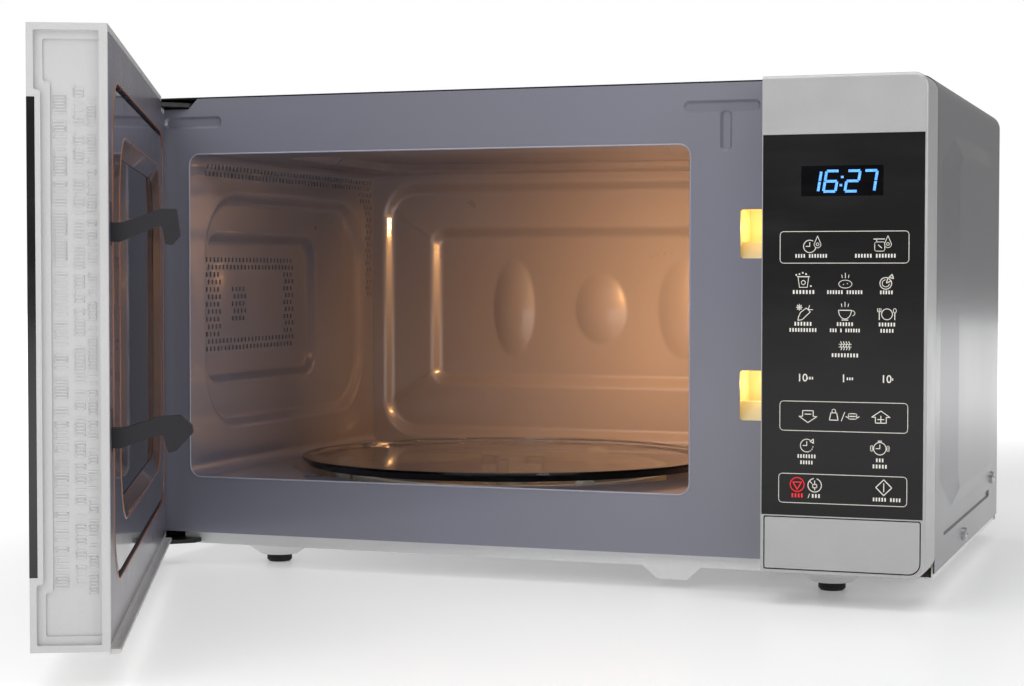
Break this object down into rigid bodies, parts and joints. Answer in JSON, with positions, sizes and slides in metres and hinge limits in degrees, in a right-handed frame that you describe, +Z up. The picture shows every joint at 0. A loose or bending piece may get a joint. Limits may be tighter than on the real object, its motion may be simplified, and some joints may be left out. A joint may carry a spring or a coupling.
{
  "type": "microwave oven",
  "caption": "Compact countertop microwave oven with a side-hung door standing open, a black touch panel, a release button, and a lit cavity with a glass turntable.",
  "frame": {"origin": "on the standing surface, under the middle of the casing (front plate to rear panel)", "axes": "+X to the right seen from the front, +Y from the door towards the back, +Z up"},
  "size_m": [0.4569, 0.6233, 0.2595],
  "materials": {
    "casing_paint": "metallic silver-grey paint",
    "cavity_paint": "lilac-grey baked enamel",
    "zinc": "zinc-coated sheet",
    "silver_plastic": "silver satin",
    "black_glass": "black glossy",
    "cover_plastic": "lilac-grey gloss",
    "black_plastic": "black",
    "white_plastic": "off-white",
    "clear": "clear",
    "steel": "bright",
    "screen_steel": "black perforated sheet",
    "rubber": "black",
    "mica": "mica sheet",
    "board": "printed circuit board",
    "copper": "varnished copper winding",
    "core_steel": "laminated core",
    "aluminium": "plain",
    "lamp_glass": "warm clear",
    "display": "display window"
  },
  "bodies": {
    "chassis": {"wrapper": "casing_paint", "front_plate": "cavity_paint", "cavity_left_wall": "cavity_paint", "cavity_right_wall": "cavity_paint", "cavity_ceiling": "cavity_paint", "cavity_floor": "cavity_paint", "cavity_back_wall": "cavity_paint", "waveguide_cover": "mica", "base_plate": "zinc", "foot_front_left": "rubber", "foot_front_right": "rubber", "foot_back_left": "rubber", "foot_back_right": "rubber", "rear_panel": "zinc", "rear_spacer_left": "black_plastic", "rear_spacer_right": "black_plastic", "cord_inlet": "black_plastic", "casing_screws": "steel", "turntable_motor": "steel", "hinge_upper": "screen_steel", "hinge_lower": "screen_steel", "control_housing": "silver_plastic", "control_glass": "black_glass", "control_board": "board", "display_module": "display", "button_spring": "steel", "latch_bracket": "white_plastic", "door_switch_upper": "black_plastic", "door_switch_middle": "black_plastic", "door_switch_lower": "black_plastic", "waveguide": "zinc", "magnetron": "aluminium", "transformer_core": "core_steel", "transformer_windings": "copper", "hv_capacitor": "aluminium", "hv_diode": "black_plastic", "filter_board": "board", "fan_shroud": "black_plastic", "fan_motor": "core_steel", "air_duct": "black_plastic", "lamp_holder": "white_plastic", "lamp_bulb": "lamp_glass"},
    "turntable": {"turntable_shaft": "white_plastic", "turntable_coupler": "white_plastic", "glass_turntable": "clear"},
    "roller_ring": {"roller_ring": "white_plastic"},
    "roller_1": {"roller_1": "white_plastic"},
    "roller_2": {"roller_2": "white_plastic"},
    "roller_3": {"roller_3": "white_plastic"},
    "door": {"door_frame": "silver_plastic", "door_glass": "black_glass", "door_inner_panel": "cavity_paint", "door_choke_cover": "cover_plastic", "door_window": "clear", "door_screen": "screen_steel", "latch_spring": "steel"},
    "latch_hooks": {"latch_hooks": "black_plastic"},
    "open_button": {"open_button": "silver_plastic"},
    "release_slider": {"release_slider": "white_plastic"},
    "fan": {"fan_impeller": "white_plastic"}
  },
  "joints": [
    {"name": "door_hinge", "type": "hinge", "parent": "chassis", "child": "door", "pos_m": [-0.2121, -0.1467, 0.135], "axis": [0, 0, 1], "range_deg": [-40.7, 64.28]},
    {"name": "latch_lift", "type": "slide", "parent": "door", "child": "latch_hooks", "axis": [0, 0, 1], "range_m": [0, 0.0065], "stiffness_N_per_m": 150, "springref_m": -0.006, "deforming": ["latch_spring"]},
    {"name": "button_push", "type": "slide", "parent": "chassis", "child": "open_button", "axis": [0, 1, 0], "range_m": [0, 0.0065], "stiffness_N_per_m": 500, "springref_m": -0.003, "deforming": ["button_spring"]},
    {"name": "release_lift", "type": "slide", "parent": "chassis", "child": "release_slider", "axis": [0, 0, 1], "range_m": [0, 0.0065]},
    {"name": "turntable_spin", "type": "hinge", "parent": "chassis", "child": "turntable", "pos_m": [-0.0475, -0.008, 0.0492], "axis": [0, 0, 1], "continuous": true},
    {"name": "ring_spin", "type": "hinge", "parent": "chassis", "child": "roller_ring", "pos_m": [-0.0475, -0.008, 0.0492], "axis": [0, 0, 1], "continuous": true},
    {"name": "roller_1_spin", "type": "hinge", "parent": "roller_ring", "child": "roller_1", "pos_m": [-0.02214, 0.08666, 0.0425], "axis": [0.2588, 0.9659, 0], "continuous": true},
    {"name": "roller_2_spin", "type": "hinge", "parent": "roller_ring", "child": "roller_2", "pos_m": [-0.14216, -0.03336, 0.0425], "axis": [-0.9659, -0.2588, 0], "continuous": true},
    {"name": "roller_3_spin", "type": "hinge", "parent": "roller_ring", "child": "roller_3", "pos_m": [0.0218, -0.0773, 0.0425], "axis": [0.7071, -0.7071, 0], "continuous": true},
    {"name": "fan_spin", "type": "hinge", "parent": "chassis", "child": "fan", "pos_m": [0.158, 0.114, 0.176], "axis": [0, 1, 0], "continuous": true}
  ],
  "couplings": [
    {"joint": "release_lift", "follows": "button_push", "ratio": 1},
    {"joint": "ring_spin", "follows": "turntable_spin", "ratio": 0.5},
    {"joint": "roller_1_spin", "follows": "turntable_spin", "ratio": -7.4242},
    {"joint": "roller_2_spin", "follows": "turntable_spin", "ratio": -7.4242},
    {"joint": "roller_3_spin", "follows": "turntable_spin", "ratio": -7.4242}
  ]
}
